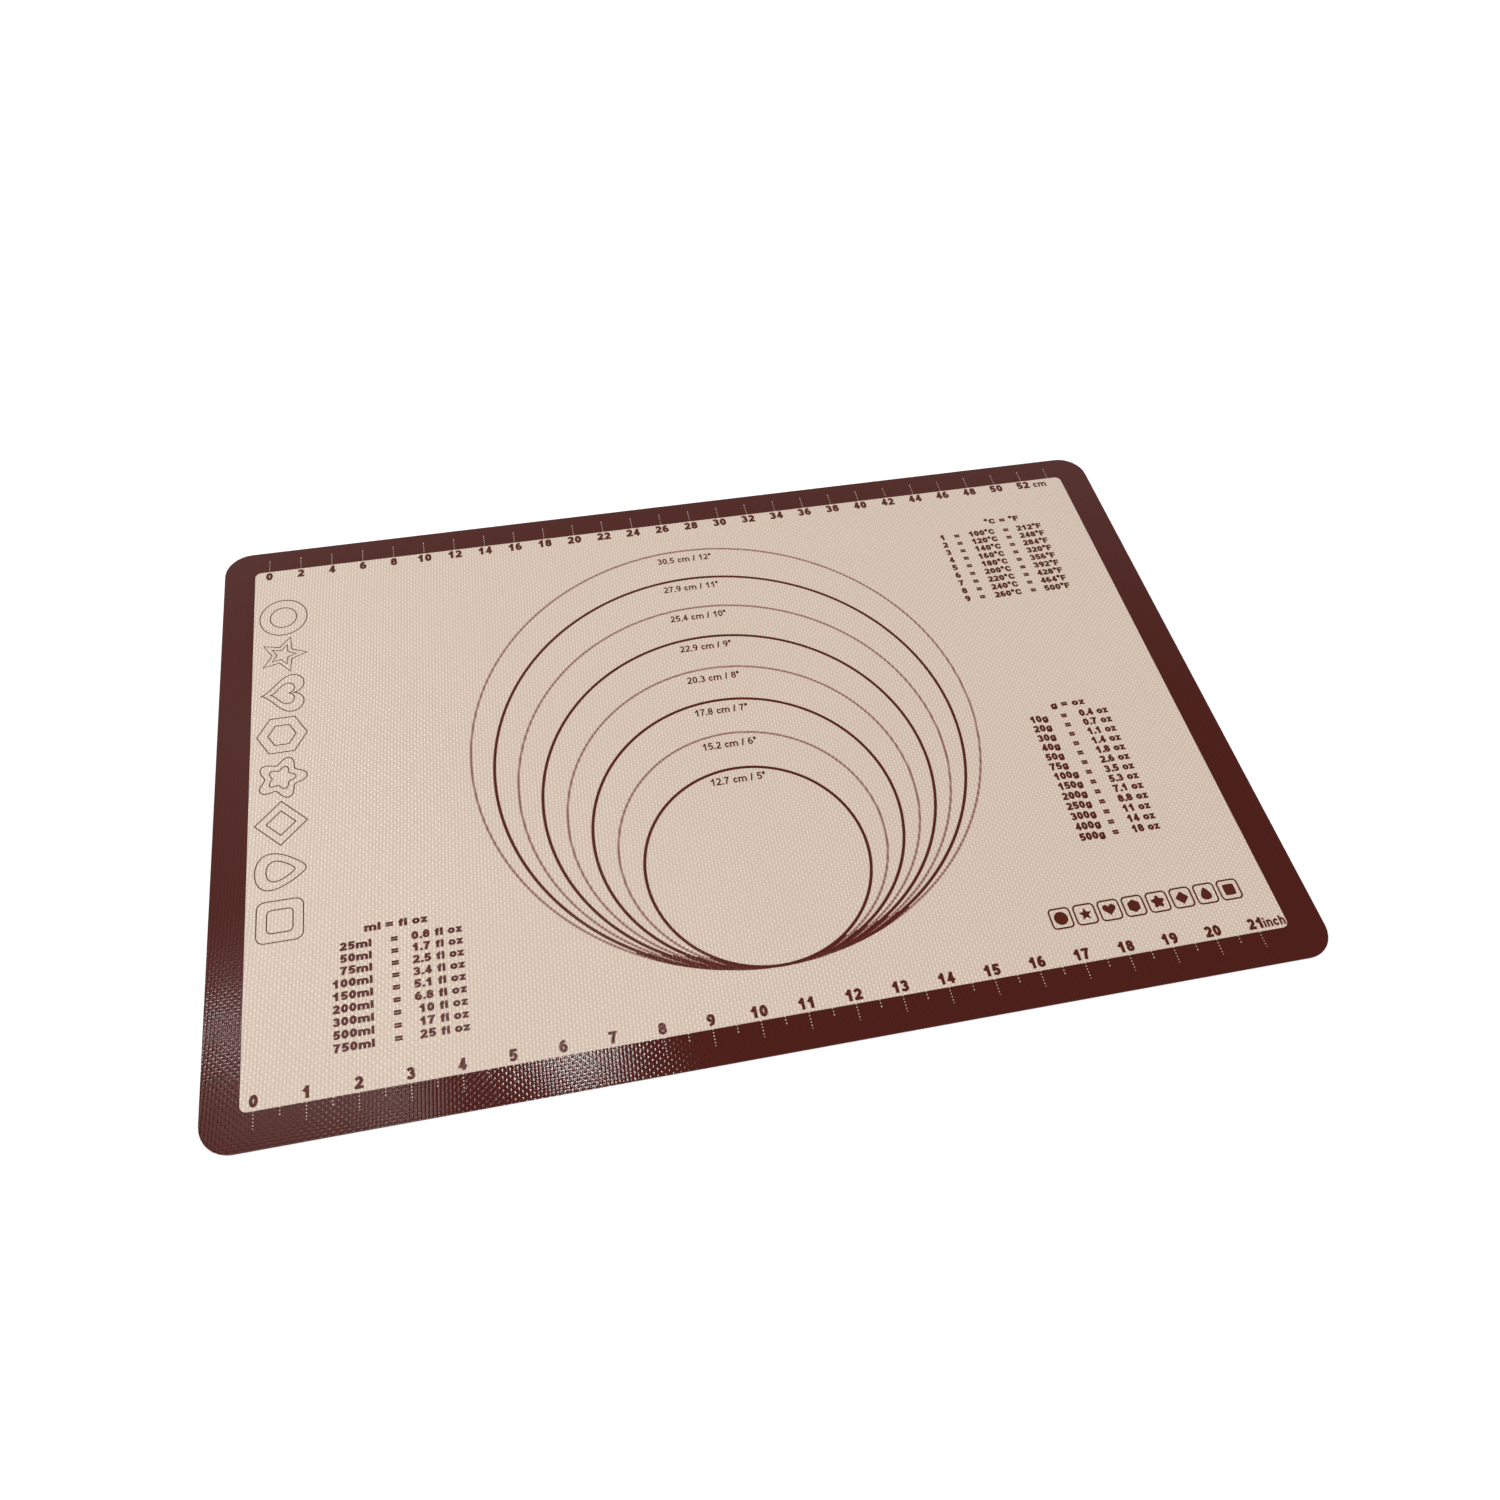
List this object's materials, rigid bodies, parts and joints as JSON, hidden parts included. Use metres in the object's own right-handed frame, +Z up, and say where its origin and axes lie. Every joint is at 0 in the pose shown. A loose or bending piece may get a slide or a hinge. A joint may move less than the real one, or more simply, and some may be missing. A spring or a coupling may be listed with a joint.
{
  "type": "silicone baking mat",
  "caption": "Flat rectangular silicone baking mat with a woven glass core, round corners, a printed border with cm and inch scales, and nested round rolling guides.",
  "frame": {"origin": "middle of the mat's outline on its underside, where it lies on the tray or worktop", "axes": "+X along the long side, +Y towards the edge with the centimetre scale, +Z up out of the printed face"},
  "size_m": [0.597, 0.396, 0.0007],
  "materials": {
    "cream_silicone": "satin",
    "glass_cloth": "matte",
    "brown_ink": "satin"
  },
  "bodies": {
    "root": {"back_coat": "cream_silicone", "glass_cloth": "glass_cloth", "face_coat": "cream_silicone", "printed_border": "brown_ink", "guide_ring_1": "brown_ink", "guide_ring_2": "brown_ink", "guide_ring_3": "brown_ink", "guide_ring_4": "brown_ink", "guide_ring_5": "brown_ink", "guide_ring_6": "brown_ink", "guide_ring_7": "brown_ink", "guide_ring_8": "brown_ink"}
  },
  "joints": []
}
